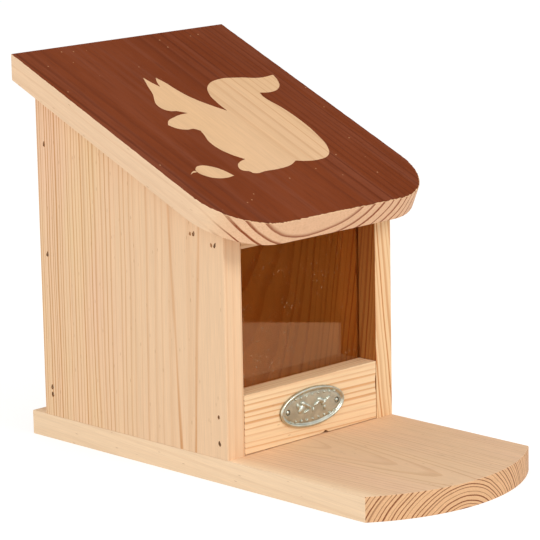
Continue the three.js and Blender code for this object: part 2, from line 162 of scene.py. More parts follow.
# Each board's growth rings. pith is a point of the tree's centre line in millimetres, and turn, in degrees, lays that
# line along the board. A ring's number is start + per_mm * r + more * r * r at r millimetres from the pith, with the
# rings flattened by flat. drift and ripple are how far they wander, in millimetres, wave is how long the drift's waves
# are across and along the grain, and late is the share of a ring that is dark late wood.
BOARDS = {
    "base": dict(pith=(-10.5, -132, -17), turn=(-87.1, 0, 0), flat=0.93, start=0.3, per_mm=0.36, more=0.003,
                 drift=1.6, ripple=0.3, wave=(48, 260), late=0.26, seed=1.7),
    "left": dict(pith=(0, -10, 0), turn=(0, 0, 0), start=0.1, per_mm=-0.05, more=0.002375,
                 drift=2.2, ripple=0.4, wave=(48, 200), late=0.3, seed=8.3),
    "right": dict(pith=(152, 88, 0), turn=(0, -6, 0), start=0.4, per_mm=-0.2, more=0.0026,
                  drift=2.6, ripple=0.4, wave=(36, 130), late=0.34, seed=21.1),
    "rail": dict(pith=(0, 130, -70), turn=(0, 90, 1.0), start=0.2, per_mm=0.62,
                 drift=2.2, ripple=0.25, wave=(48, 260), late=0.3, seed=4.6),
    "back": dict(pith=(-14, 150, 0), turn=(0.6, 1.4, 0), start=0.3, per_mm=0.4,
                 drift=4.0, ripple=0.5, wave=(48, 160), late=0.32, seed=13.9),
    "strip": dict(pith=(0, 60, 60), turn=(0, 90, 1.5), start=0, per_mm=0.36,
                  drift=2.5, ripple=0.3, wave=(48, 260), late=0.3, seed=31.2),
    "roof": dict(pith=(-20, -48.8, 145.2), turn=(degrees(ROOF_SLOPE) - 90, 0, 0.6), flat=0.57, start=0.47,
                 per_mm=-0.15, more=0.0068, drift=2.4, ripple=0.35, wave=(48, 260), late=0.22, seed=17.4),
}


# A colour mix's own numbers for its factor and its two colours
FACTOR, BELOW, ABOVE = 0, 6, 7


def growth_rings(add, pith, turn, start, per_mm, drift, ripple, wave, late, seed, more=0, flat=1):
    """A board's own pattern, each part 0 to 1: late wood, fibre, streak, patch, pore, resin duct and end grain. Also
    the coordinates of where a point lies and of the way its face looks."""
    coords = add("TexCoord")
    laid = {
        "Vector": coords.outputs["Object"],
        "Location": [c * MM for c in pith],
        "Rotation": [radians(c) for c in turn],
        "Scale": (MM / flat, MM, MM),
    }
    place = add("Mapping", laid, vector_type="TEXTURE")
    offset = (seed, seed * 1.3, seed * 0.7)

    def blots(at, across, along, detail, roughness=0.5):
        # Noise in blots of that size, in millimetres across and along the grain
        where = add("VectorMath MULTIPLY_ADD", (at, (1 / across, 1 / across, 1 / along), offset))
        return add("TexNoise", {"Vector": where, "Scale": 1, "Detail": detail, "Roughness": roughness})

    def wander(at, across, along, reach):
        # Each point slips sideways by up to reach millimetres
        slip = (blots(at, across, along, 2).outputs["Color"], (2 * reach, 2 * reach, 0), (-reach, -reach, 0))
        return add("VectorMath ADD", (at, add("VectorMath MULTIPLY_ADD", slip)))

    moved = wander(wander(place, *wave, drift), 7, 90, ripple)
    level = add("VectorMath MULTIPLY", (moved, (1, 1, 0)))
    radius = add("VectorMath LENGTH", (level,))
    rate = add("Math MULTIPLY_ADD", (radius, more, per_mm))
    # 40 rings more keep the number above zero
    number = add("Math MULTIPLY_ADD", (radius, rate, start + 40))
    year = add("TexNoise", {"W": number, "Scale": 0.7, "Detail": 1}, noise_dimensions="1D")
    count = add("Math MULTIPLY_ADD", (year, 0.9, number))
    phase = add("Math FRACT", (count,))
    # The dark line swells slowly until late in the year, and stops short
    swell = (phase, 0.93 - 1.4 * late, 0.93 - 0.3 * late, 0, 1)
    stop = (phase, 0.93, 0.93 + 0.2 * late, 1, 0)
    swell, stop = (add("MapRange", edge, interpolation_type="SMOOTHSTEP") for edge in (swell, stop))
    line = add("Math MULTIPLY", (swell, stop))
    # Some years are darker than others
    season = add("TexWhiteNoise", {"W": add("Math FLOOR", (count,))}, noise_dimensions="1D")
    dark = add("Math MULTIPLY", (line, add("MapRange", (season, 0, 1, 0.35, 1))))

    # Resin ducts: short thin dashes along the grain, in a few of many cells 1.8 mm wide and 9 mm long
    cells = add("VectorMath MULTIPLY_ADD", (place, (1 / 1.8, 1 / 1.8, 1 / 9), offset))
    duct = add("TexVoronoi", {"Vector": cells, "Scale": 1}, feature="F1")
    near = add("MapRange", (duct.outputs["Distance"], 0.07, 0.16, 1, 0))
    few = add("Math GREATER_THAN", (duct.outputs["Color"], 0.62))

    # The board's ends face along the grain
    along = Euler([radians(c) for c in turn]).to_matrix() @ Z
    facing = add("VectorMath DOT_PRODUCT", (coords.outputs["Normal"], along))
    facing = add("Math ABSOLUTE", (facing,))
    return dict(
        late=dark,
        fibre=blots(place, 0.5, 16, 3, 0.6),
        streak=blots(place, 3, 130, 3),
        patch=blots(place, 26, 110, 2),
        pore=blots(place, 0.45, 0.45, 2, 0.7),
        duct=add("Math MULTIPLY", (near, few)),
        end=add("MapRange", (facing, 0.4, 0.7, 0, 1)),
        normal=add("SeparateXYZ", (coords.outputs["Normal"],)).outputs,
        place=add("SeparateXYZ", (coords.outputs["Object"],)).outputs,
    )


def planed_pine(board, early, late, warm, contrast, end_early="#EDC095", end_late="#8E5A32", sap=None, painted_shade=None,
                veins=()):
    """Planed and sanded pine, unfinished: satin early wood with darker late wood lines that stand a hair proud, fine
    fibres along the grain, and ends that drink up dirt, so they are darker with crisper rings. A sap edge is paler and
    plainer, and a vein of pitch is an orange line, stronger towards the board's foot. Painted shade makes an inner face
    browner, most of all in front of the pane, and darker still in the kerf."""
    material, add = new_material(f"planed_pine_{board}")
    grain = growth_rings(add, **BOARDS[board])
    place = grain["place"]
    on_face = [(warm, add("MapRange", (grain["patch"], 0.35, 0.68, 0, 1)))]
    depth = contrast
    if sap:
        axis, start, end, pale, plain = sap
        reach = (place[axis], start * MM, end * MM)
        on_face.append((pale, add("MapRange", (*reach, 0, 1))))
        depth = add("MapRange", (*reach, contrast, contrast * plain))
    on_face.append((late, add("Math MULTIPLY", (grain["late"], depth))))
    on_face.append(("#B98A5E", add("MapRange", (grain["duct"], 0, 1, 0, 0.5))))
    for foot, lean in veins:
        # The vein's place along Y is foot at the height zero, and lean more for each unit of height. The streaks
        # make it wander by up to 3 mm
        off = add("Math MULTIPLY_ADD", (place["Z"], -lean, place["Y"]))
        off = add("Math MULTIPLY_ADD", (grain["streak"], 3 * MM, off))
        off = add("Math SUBTRACT", (off, (foot + 1.5) * MM))
        near = add("MapRange", (add("Math ABSOLUTE", (off,)), 0.3 * MM, 1.3 * MM, 1, 0))
        deep = add("MapRange", (place["Z"], 70 * MM, 15 * MM, 0.4, 0.8))
        on_face.append(("#D4935A", add("Math MULTIPLY", (near, deep))))
    on_end = [
        (end_late, add("MapRange", (grain["late"], 0.1, 0.5, 0, 1))),
        ("#CF9C6C", add("MapRange", (grain["pore"], 0.45, 0.7, 0, 0.5))),
    ]
    grounds = []
    for ground, layers in ((linear(early), on_face), (linear(end_early), on_end)):
        for over, amount in layers:
            ground = add("Mix", {FACTOR: amount, BELOW: ground, ABOVE: linear(over)}, data_type="RGBA")
        grounds.append(ground)
    colour = add("Mix", {FACTOR: grain["end"], BELOW: grounds[0], ABOVE: grounds[1]}, data_type="RGBA")
    if painted_shade:
        # Painted shade on the face that looks to the left: its colour is back at 75 mm behind zero, and turns to front
        # at the kerf, so the box's inside is darkest in front of the pane
        front, back, kerf = painted_shade
        inner = add("MapRange", (grain["normal"]["X"], -0.2, -0.6, 0, 1))
        forward = add("MapRange", (place["Y"], 75 * MM, -4 * MM, 0, 1))
        shade_colour = add("Mix", {FACTOR: forward, BELOW: linear(back), ABOVE: linear(front)}, data_type="RGBA")
        # The kerf's faces lie up to 1.25 mm from its middle, and its floor at 52 mm. Painted shade darkens the kerf
        # further
        aside = add("Math ABSOLUTE", (add("Math SUBTRACT", (place["Y"], KERF_MIDDLE)),))
        between = add("MapRange", (aside, 1.3 * MM, 1.6 * MM, 1, 0))
        shallow = add("MapRange", (place["X"], 52.2 * MM, 52.5 * MM, 1, 0))
        for amount, over in ((inner, shade_colour), (add("Math MULTIPLY", (between, shallow)), linear(kerf))):
            shaded = {FACTOR: amount, BELOW: colour, ABOVE: over}
            colour = add("Mix", shaded, data_type="RGBA", blend_type="MULTIPLY")
    fibrous = add("MapRange", (grain["fibre"], 0.25, 0.75, 0.93, 1.06))
    streaky = add("MapRange", (grain["streak"], 0.3, 0.7, 0.97, 1.03))
    height = add("Math MULTIPLY_ADD", (grain["late"], 0.3, grain["fibre"]))
    look = {
        "Base Color": add("VectorMath SCALE", {0: colour, "Scale": add("Math MULTIPLY", (fibrous, streaky))}),
        "Roughness": add("MapRange", (grain["fibre"], 0, 1, 0.5, 0.72)),
        "Normal": add("Bump", {"Strength": 0.4, "Distance": 0.04 * MM, "Height": height}),
        "IOR": 1.45,
        "Specular IOR Level": 0.2,
    }
    add("OutputMaterial", (add("BsdfPrincipled", look),))
    return material


def roof_paint():
    """Thin satin wood paint, brushed on one coat: the rings beneath show through as fine darker lines, with rosy
    streaks along the grain where the wood drank it unevenly, and a few pinholes down to bare wood."""
    material, add = new_material("brushed_wood_paint")
    grain = growth_rings(add, **BOARDS["roof"])
    coords = add("TexCoord")
    # A pinhole where a cell of 8 mm has its middle on the surface
    holes = add("TexVoronoi", {"Vector": coords.outputs["Object"], "Scale": 1 / (8 * MM)}, feature="F1")
    layers = [
        ("#823B16", add("MapRange", (grain["patch"], 0.36, 0.64, 0, 1))),
        ("#884A32", add("MapRange", (grain["streak"], 0.46, 0.7, 0, 0.5))),
        ("#561F05", add("MapRange", (grain["late"], 0, 1, 0, 0.7))),
        ("#602709", add("MapRange", (grain["fibre"], 0.5, 0.28, 0, 0.5))),
        ("#C08A62", add("MapRange", (holes.outputs["Distance"], 0.04, 0.065, 1, 0))),
    ]
    coat = bpy.context.scene.feeder_colours.paint
    for over, amount in layers:
        coat = add("Mix", {FACTOR: amount, BELOW: coat, ABOVE: linear(over)}, data_type="RGBA")
    height = add("Math MULTIPLY_ADD", (grain["late"], 0.7, grain["fibre"]))
    look = {
        "Base Color": coat,
        "Roughness": add("MapRange", (grain["fibre"], 0, 1, 0.42, 0.6)),
        "Normal": add("Bump", {"Strength": 0.45, "Distance": 0.07 * MM, "Height": height}),
        "IOR": 1.5,
        "Specular IOR Level": 0.13,
    }
    add("OutputMaterial", (add("BsdfPrincipled", look),))
    return material


def clear_acrylic():
    """Extruded acrylic sheet: clear and glossy, with handling haze and a few specks of wood dust. Its warm tint is
    painted shade: it darkens and browns the box's inside seen through it, most in blue.
    """
    material, add = new_material("clear_acrylic_sheet")
    coords = add("TexCoord")
    # Wipe marks about 17 mm across, and specks in cells of 2.4 mm
    haze = add("TexNoise", {"Vector": coords.outputs["Object"], "Scale": 1 / (17 * MM), "Detail": 4})
    specks = add("TexVoronoi", {"Vector": coords.outputs["Object"], "Scale": 1 / (2.4 * MM)}, feature="F1")
    look = {
        # The warm tint is painted shade on what is seen through the pane
        "Base Color": bpy.context.scene.feeder_colours.acrylic,
        "Roughness": add("MapRange", (haze, 0.4, 0.75, 0, 0.05)),
        "IOR": 1.49,
        "Transmission Weight": 1,
    }
    clean = add("BsdfPrincipled", look)
    dust = add("BsdfDiffuse", {"Color": linear("#D9C0A0")})
    near = add("MapRange", (specks, 0.1, 0.2, 1, 0))
    some = add("MapRange", (haze, 0.5, 0.62, 0, 0.3))
    sheet = add("MixShader", (add("Math MULTIPLY", (near, some)), clean, dust))
    # Light passes straight through, so that the inside is lit as by day
    path = add("LightPath")
    lighting = (path.outputs["Is Shadow Ray"], path.outputs["Is Diffuse Ray"])
    clear = add("BsdfTransparent", {"Color": linear("#FFF8E8")})
    both = add("MixShader", (add("Math MAXIMUM", lighting), sheet, clear))
    add("OutputMaterial", (both,))
    return material


def tarnished(name, pale, dark, metallic, roughness, grit_mm, depth_mm, low=None, high=None):
    """A cast, rolled or torn surface: fine grit, and tarnish in clouds, or in its hollows where low and high say at
    which places along Y it ends."""
    material, add = new_material(name)
    place = add("TexCoord").outputs["Object"]
    grit = add("TexNoise", {"Vector": place, "Scale": 1 / (grit_mm * MM), "Detail": 4, "Roughness": 0.6})
    cloud = add("TexNoise", {"Vector": place, "Scale": 1 / (4 * MM), "Detail": 3})
    worn = add("MapRange", (cloud, 0.38, 0.62, 0, 1))
    if low is not None:
        rise = add("MapRange", (add("SeparateXYZ", (place,)).outputs["Y"], low * MM, high * MM, 0, 0.65))
        worn = add("Math MULTIPLY_ADD", (worn, 0.35, rise))
    look = {
        "Base Color": add("Mix", {FACTOR: worn, BELOW: linear(dark), ABOVE: linear(pale)}, data_type="RGBA"),
        "Metallic": metallic,
        "Roughness": add("MapRange", (grit, 0, 1, roughness * 0.7, roughness * 1.3)),
        "Normal": add("Bump", {"Strength": 0.6, "Distance": depth_mm * MM, "Height": grit}),
    }
    add("OutputMaterial", (add("BsdfPrincipled", look),))
    return material


PINES = {
    "base": dict(early="#EDC8A0", late="#C69262", warm="#EDC6A2", contrast=0.5, end_early="#ECBC8E",
                 end_late="#7C3C18", sap=("X", -50, -58, "#FCDCB6", 0.3)),
    "left": dict(early="#F6D2A4", late="#D29660", warm="#F7CDA8", contrast=1.1, sap=("Y", 84, 34, "#F4CEA6", 0.3),
                 veins=((15, 0.046), (5.7, -0.047))),
    # The right wall's painted shade: the colours that darken its inner face in front and at the back, and its kerf
    "right": dict(early="#FAD5A5", late="#C87F44", warm="#F8CB99", contrast=1, sap=("Y", -8, 14, "#FAD4A2", 0.6),
                  painted_shade=("#BC905E", "#FFE9C6", "#A87A54")),
    "rail": dict(early="#FEDFB3", late="#DC9A5E", warm="#FCD8AC", contrast=0.8),
    "back": dict(early="#F4CA9C", late="#C8925C", warm="#F0C090", contrast=0.6),
    "strip": dict(early="#E8C096", late="#C99664", warm="#E4BA8E", contrast=0.7),
    "roof": dict(early="#E7BC8E", late="#C68E60", warm="#E8BE94", contrast=0.55, end_early="#EFC29C",
                 end_late="#8A3C1A", sap=("X", -62, -74.8, "#F6D1AB", 0.3)),
}
TARNISHED = {
    # Cast pewter, tumbled: satin grey, dark in its hollows and rubbed pale on its high places
    "pewter": ("tarnished_pewter", "#D0D1C2", "#94968A", 1, 0.32, 0.9, 0.22, -18.66, -19.0),
    # Rolled steel with bright zinc: cool grey, faintly clouded
    "zinc": ("zinc_plated_steel", "#C6C8CA", "#B2B2AE", 1, 0.32, 0.35, 0.01),
    # Drawn wire with a brown coating of resin: dull, nearly the colour of the wood's shadows
    "nail": ("coated_nail_wire", "#A07C58", "#70502F", 0, 0.45, 0.3, 0.02),
    # Pine torn and crushed by a nail: rough and brown
    "hole": ("bruised_pine", "#B27C4C", "#7C5230", 0, 0.8, 0.3, 0.05),
}


@cache
def finish(name):
    """A finish by name, made once."""
    if name in PINES:
        return planed_pine(name, **PINES[name])
    if name in TARNISHED:
        return tarnished(*TARNISHED[name])
    return {"paint": roof_paint, "acrylic": clear_acrylic}[name]()


def linked(name, data):
    """A new object in the scene."""
    obj = bpy.data.objects.new(name, data)
    bpy.context.scene.collection.objects.link(obj)
    return obj


def meshed(name, bm):
    """A new object of a bmesh, which is used up."""
    mesh = bpy.data.meshes.new(name)
    bm.to_mesh(mesh)
    bm.free()
    return linked(name, mesh)


def as_shown(obj):
    """A new mesh of an object's shape with its modifiers."""
    return bpy.data.meshes.new_from_object(obj.evaluated_get(bpy.context.evaluated_depsgraph_get()))


def piece(name, bm, look, body, replaced=(), smooth=30):
    """Makes a finished piece, at the origin with its place in its mesh, that rides on a body."""
    bmesh.ops.remove_doubles(bm, verts=bm.verts, dist=WELD)
    bmesh.ops.recalc_face_normals(bm, faces=bm.faces)
    obj = meshed(name, bm)
    obj.data.shade_smooth()
    obj.data.set_sharp_from_angle(angle=radians(smooth))
    obj.data.materials.append(finish(look))
    even_shading(obj)
    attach(obj, body)
    if replaced:
        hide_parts(*replaced)
    return obj


def even_shading(obj):
    """Keeps flat faces flat in shading beside their rounded edges."""
    even = obj.modifiers.new("even_shading", "WEIGHTED_NORMAL")
    even.keep_sharp = True
    even.weight = 100


def verts_in(geom):
    return [g for g in geom if isinstance(g, bmesh.types.BMVert)]


def edges_in(geom):
    return [g for g in geom if isinstance(g, bmesh.types.BMEdge)]


def outline_in(bm, points, closed=True):
    """Adds an outline, and gives its points and its edges."""
    verts = [bm.verts.new(p) for p in points]
    return verts, [bm.edges.new(pair) for pair in zip(verts, verts[1:] + verts[:1] if closed else verts[1:])]


def drawn_out(outline, axis, start, end):
    """A closed solid from a flat outline, drawn out from start to end along an axis, 0 to 2. The outline's points
    give the other two coordinates."""
    bm = bmesh.new()
    bmesh.ops.contextual_create(bm, geom=outline_in(bm, [(*p[:axis], start, *p[axis:]) for p in outline])[1])
    grown = bmesh.ops.extrude_face_region(bm, geom=bm.faces[:])["geom"]
    bmesh.ops.translate(bm, verts=verts_in(grown), vec=(X, Y, Z)[axis] * (end - start))
    bmesh.ops.recalc_face_normals(bm, faces=bm.faces)
    return bm


def spun_round(bm, outline, centre, axis, steps, closed):
    """Spins an outline into a round body."""
    verts, edges = outline_in(bm, outline, closed)
    bmesh.ops.spin(
        bm, geom=verts + edges, cent=centre, axis=axis, dvec=(0, 0, 0), angle=2 * pi, steps=steps, use_merge=True
    )


def cone(bm, segments, low_radius, high_radius, length, place=Matrix()):
    """Adds a closed cone or rod, its middle at the origin and its length upwards, laid by a matrix."""
    verts = bmesh.ops.create_cone(
        bm, cap_ends=True, segments=segments, radius1=low_radius, radius2=high_radius, depth=length
    )["verts"]
    bmesh.ops.transform(bm, matrix=place, verts=verts)
    return verts


def arc(start, centre, angle, steps):
    """Points of a flat arc, spun from its first point."""
    bm = bmesh.new()
    first = bm.verts.new((*start, 0))
    bmesh.ops.spin(
        bm, geom=[first], cent=(*centre, 0), axis=Z, dvec=(0, 0, 0), angle=angle, steps=steps, use_merge=False
    )
    points = [v.co.xy[:] for v in bm.verts]
    bm.free()
    return points


def slice_off(bm, place, away):
    """Cuts off what lies beyond a plane and closes the cut."""
    cut = bmesh.ops.bisect_plane(
        bm, geom=bm.verts[:] + bm.edges[:] + bm.faces[:], dist=1e-7, plane_co=place, plane_no=away, clear_outer=True
    )
    bmesh.ops.contextual_create(bm, geom=edges_in(cut["geom_cut"]))
    bmesh.ops.recalc_face_normals(bm, faces=bm.faces)


def ease_edges(bm, radius, segments=2, least=30, only=None):
    """Rounds the edges that turn by more than the least angle, in degrees."""
    bmesh.ops.recalc_face_normals(bm, faces=bm.faces)
    edges = [
        e for e in bm.edges
        if len(e.link_faces) == 2 and e.calc_face_angle() > radians(least) and (only is None or only(e))
    ]
    bmesh.ops.bevel(
        bm, geom=edges, offset=radius, offset_type="OFFSET", segments=segments, profile=0.5, affect="EDGES", material=-1
    )


def cut_with(obj, cutter_bm, look):
    """Cuts a piece with a closed shape, whose finish shows in the cut."""
    bmesh.ops.recalc_face_normals(cutter_bm, faces=cutter_bm.faces)
    cutter = meshed("cutter", cutter_bm)
    cutter.data.materials.append(finish(look))
    obj.modifiers.clear()
    tool = obj.modifiers.new("cut", "BOOLEAN")
    tool.operation = "DIFFERENCE"
    tool.solver = "EXACT"
    tool.object = cutter
    tool.material_mode = "TRANSFER"
    cut = as_shown(obj)
    obj.modifiers.clear()
    spent = (obj.data, cutter.data)
    cut.name = obj.data.name
    obj.data = cut
    bpy.data.objects.remove(cutter)
    for mesh in spent:
        bpy.data.meshes.remove(mesh)
    even_shading(obj)


def middle_of(node):
    low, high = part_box(node)
    return (low + high) / 2


def head_of(node, facing):
    """The middle of a nail's or screw's head, for a head that faces that way."""
    low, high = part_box(node)
    centre = (low + high) / 2
    return centre + facing * (max(low.dot(facing), high.dot(facing)) - centre.dot(facing))


def nail_holes(obj, nails, facing, grain, seed, doubled=()):
    """Torn holes over sunk nail heads: longer along the grain, with a ragged rim. A doubled one has a second mark
    beside it, left by the nailer's foot."""
    rng = random.Random(seed)
    bm = bmesh.new()
    turn = Matrix((grain.cross(facing), grain, facing)).transposed()
    # Each mark's place, how far its middle stands over the head in millimetres, and its scale
    marks = [(head_of(nail, facing), 0.95, 1) for nail in nails]
    marks += [(head_of(nail, facing) - turn.col[0] * 2.6 * MM, 1.4, 0.8) for nail in doubled]
    for middle, lift, scale in marks:
        made = cone(bm, 11, 0.8 * MM, 1.0 * MM, 2 * MM)
        long, wide = scale * rng.uniform(1.5, 1.95), scale * rng.uniform(0.95, 1.25)
        for v in made:
            ragged = rng.uniform(0.7, 1.15)
            v.co.x *= ragged * (1 - 0.4 * v.co.y / MM)
            v.co.y *= ragged
        along = Matrix.Rotation(rng.uniform(-0.3, 0.3), 4, "Z") @ Matrix.Diagonal((wide, long, 1, 1))
        slip = turn @ Vector((rng.uniform(-0.3, 0.3), rng.uniform(-0.4, 0.4), lift)) * MM
        bmesh.ops.transform(bm, matrix=Matrix.Translation(middle + slip) @ turn.to_4x4() @ along, verts=made)
    cut_with(obj, bm, "hole")


def nodes_like(*starts):
    return sorted(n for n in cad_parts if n.startswith(starts))


class FEEDER_OT_base(bpy.types.Operator):
    """Builds the base board with its bowed front edge"""

    bl_idname = "feeder.base"
    bl_label = "Base board"

    def execute(self, context):
        sizes = context.scene.feeder_sizes
        low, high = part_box("base_board")
        half, bow = (high.x - low.x) / 2, sizes.base_bow
        radius = (half**2 + bow**2) / (2 * bow)
        bowed = arc((-half, low.y + bow), (0, low.y + radius), 2 * asin(half / radius), 40)
        bm = drawn_out([(-half, high.y), *bowed, (half, high.y)], 2, low.z, high.z)
        ease_edges(bm, sizes.edge_round)
        obj = piece("base_plank", bm, "base", "box", ["base_board"])
        nail_holes(obj, nodes_like("base_brad"), -Z, Y, 3)
        return {"FINISHED"}


class FEEDER_OT_walls(bpy.types.Operator):
    """Builds the two side walls with their kerfs and nail holes"""

    bl_idname = "feeder.walls"
    bl_label = "Side walls"

    def execute(self, context):
        sizes = context.scene.feeder_sizes
        pane_low, pane_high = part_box("window_pane")
        kerf_front, kerf_back = pane_low.y - GAP_BEFORE, pane_high.y + GAP_BEHIND
        for name, side in SIDES.items():
            low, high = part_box(f"{name}_side_panel")
            outer, inner = (low.x, high.x) if side < 0 else (high.x, low.x)
            deep = inner + side * sizes.kerf_depth
            plan = [
                (outer, low.y), (inner, low.y), (inner, kerf_front), (deep, kerf_front),
                (deep, kerf_back), (inner, kerf_back), (inner, high.y), (outer, high.y),
            ]
            foot = low.z - LET_IN
            # The wall is made too high, and sliced off along the roof. Its foot's edges stay sharp
            bm = drawn_out(plan, 2, foot, high.z + 10 * MM)
            slice_off(bm, Vector((0, high.y, high.z)), OFF_ROOF)
            ease_edges(bm, sizes.edge_round, only=lambda e: max(v.co.z for v in e.verts) > foot + MM)
            obj = piece(f"{name}_wall", bm, name, "box", [f"{name}_side_panel"])
            doubled = ["left_side_brad_3", "left_side_brad_4"] if side < 0 else []
            nail_holes(obj, nodes_like(f"{name}_side_brad"), X * side, Z, 11 + side, doubled)
        return {"FINISHED"}


class FEEDER_OT_rail(bpy.types.Operator):
    """Builds the front rail with its chip and nick, and the strip under the roof's front"""

    bl_idname = "feeder.rail"
    bl_label = "Front rail and strip"

    def execute(self, context):
        sizes = context.scene.feeder_sizes
        low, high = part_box("front_rail")
        foot = low.z + OPEN_JOINT
        # In millimetres: the chip along and up from the rail's left foot, the nick in from its right end and up
        chip = [(5.9, 0), (8.6, 0.5), (9.5, 1.15), (10.6, 1.1), (11.4, 0.4), (12.5, 0)]
        nick = [(0, 27.3), (0.45, 29.2), (0.55, 34.4), (0, 37.4)]
        outline = [
            (low.x, foot), *[(x * MM, foot + z * MM) for x, z in chip], (high.x, foot),
            *[(high.x - x * MM, z * MM) for x, z in nick], (high.x, high.z), (low.x, high.z),
        ]
        bm = drawn_out(outline, 1, low.y, high.y)
        ease_edges(bm, sizes.edge_round, least=50)
        piece("rail_board", bm, "rail", "box", ["front_rail"])

        low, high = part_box("front_top_strip")
        foot = low.z + STRIP_RAISED
        drop = tan(ROOF_SLOPE) * (high.y - low.y)
        section = [(low.y, foot), (high.y, foot), (high.y, high.z), (low.y, high.z - drop)]
        bm = drawn_out(section, 0, low.x, high.x)
        ease_edges(bm, sizes.edge_round)
        piece("front_strip_board", bm, "strip", "box", ["front_top_strip"])
        return {"FINISHED"}


def front_corners(half, corner, inset, steps):
    """The arcs of the roof's two front corners, left to right, in its own plane from the middle of its front."""
    left = arc((inset - half, corner), (corner - half, corner), pi / 2, steps)
    return left, arc((half - corner, inset), (half - corner, corner), pi / 2, steps)


class FEEDER_OT_roof(bpy.types.Operator):
    """Builds the roof board with its two round front corners"""

    bl_idname = "feeder.roof"
    bl_label = "Roof board"

    def execute(self, context):
        sizes = context.scene.feeder_sizes
        low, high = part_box("roof_board")
        half, thickness, slope = high.x, sizes.roof_thickness, tan(ROOF_SLOPE)
        # The middle of the underside's front edge
        front = Vector((0, low.y, high.z - thickness / cos(ROOF_SLOPE) - slope * (high.y - low.y)))
        front += thickness * sin(ROOF_SLOPE) * Vector((0, 1, slope))
        # The board is made too long, and sliced upright at the back
        length = (high.y - low.y) / cos(ROOF_SLOPE) + 20 * MM
        left, right = front_corners(half, sizes.roof_corner, 0, 20)
        bm = drawn_out([(-half, length), *left, *right, (half, length)], 2, 0, thickness)
        lift = Matrix.Translation(front) @ Matrix.Rotation(ROOF_SLOPE, 4, "X")
        bmesh.ops.transform(bm, matrix=lift, verts=bm.verts)
        slice_off(bm, Vector((0, high.y, 0)), Y)
        ease_edges(bm, sizes.edge_round)
        piece("roof_plank", bm, "roof", "roof_lid", ["roof_board"])
        return {"FINISHED"}


# The figure on the roof, in millimetres across the roof and up its slope from the front edge: a sitting squirrel and
# an acorn, left bare in the paint. A point marked 1 is a sharp one.
SQUIRREL = [
    (-16.7, 140.8, 1), (-20.8, 131.6), (-23.8, 124.2), (-27.0, 119.4), (-29.2, 115.0), (-29.0, 110.6),
    (-26.4, 107.6), (-22.4, 106.4), (-17.8, 103.2, 1), (-23.0, 103.0), (-28.8, 101.6), (-34.4, 99.4),
    (-37.7, 95.9, 1), (-35.2, 91.8), (-30.4, 89.2), (-25.8, 88.8), (-23.4, 86.4, 1), (-24.6, 82.0),
    (-26.6, 76.2), (-26.4, 68.8), (-23.4, 61.6), (-19.2, 56.2, 1), (-24.0, 54.8), (-28.2, 51.6),
    (-29.0, 47.8), (-25.6, 45.6), (-24.4, 43.6), (-16, 43.4), (-7, 43.2), (2.4, 44.4),
    (8.6, 47.2, 1), (13, 45.6), (22, 44.4), (31.4, 46.4), (37.6, 53), (41.4, 65), (43.0, 79),
    (42.2, 93.6), (39.8, 106.6), (40.8, 110.4, 1), (48.6, 109.4), (56.6, 112.2), (61.6, 118.2),
    (63.7, 124.7, 1), (53, 124.0), (40.4, 127.2), (26.8, 128.6), (15.6, 124.6), (9.4, 116.6),
    (7.4, 107.8), (7.1, 99.6, 1), (1.0, 107.8), (-4.0, 117), (-6.4, 125.8), (-7.4, 132.6),
    (-9.3, 139, 1), (-12.2, 134.4), (-13.6, 130.2, 1), (-15.4, 135),
]
ACORN = [
    (-55.0, 53.2), (-53.2, 56.4), (-48.9, 57.8), (-43.4, 55.4), (-39.4, 50.6), (-37.2, 44.6, 1),
    (-42.2, 44.0), (-48.0, 45.0), (-52.8, 48.2),
]
STEM = [(-55.3, 54.1), (-57.6, 53.9), (-60.4, 51.8, 1), (-57.8, 53.0), (-55.3, 53.2)]


def sheet_from(straight, smooth, thickness, rounding, place):
    """A flat sheet laid by a matrix, its back at zero and its face at the thickness. Its closed outlines are straight
    from point to point, in metres, or smooth but for the points marked 1, in millimetres. One inside another is a
    hole."""
    curve = bpy.data.curves.new("outline", "CURVE")
    curve.dimensions = "2D"
    curve.fill_mode = "BOTH"
    curve.extrude = thickness / 2 - rounding
    curve.bevel_depth = rounding
    curve.bevel_resolution = 1
    curve.offset = -rounding
    for points in straight:
        spline = curve.splines.new("POLY")
        spline.points.add(len(points) - 1)
        for node, (x, y) in zip(spline.points, points):
            node.co = (x, y, 0, 1)
    for points in smooth:
        spline = curve.splines.new("BEZIER")
        spline.resolution_u = 8
        spline.bezier_points.add(len(points) - 1)
        for node, (x, y, *sharp) in zip(spline.bezier_points, points):
            node.co = (x * MM, y * MM, 0)
            node.handle_left_type = node.handle_right_type = "VECTOR" if sharp else "AUTO"
    for spline in curve.splines:
        spline.use_cyclic_u = True
    holder = linked("outline", curve)
    mesh = as_shown(holder)
    bm = bmesh.new()
    bm.from_mesh(mesh)
    bmesh.ops.transform(bm, matrix=place @ Matrix.Translation((0, 0, thickness / 2)), verts=bm.verts)
    bmesh.ops.remove_doubles(bm, verts=bm.verts, dist=WELD)
    bpy.data.objects.remove(holder)
    bpy.data.curves.remove(curve)
    bpy.data.meshes.remove(mesh)
    return bm


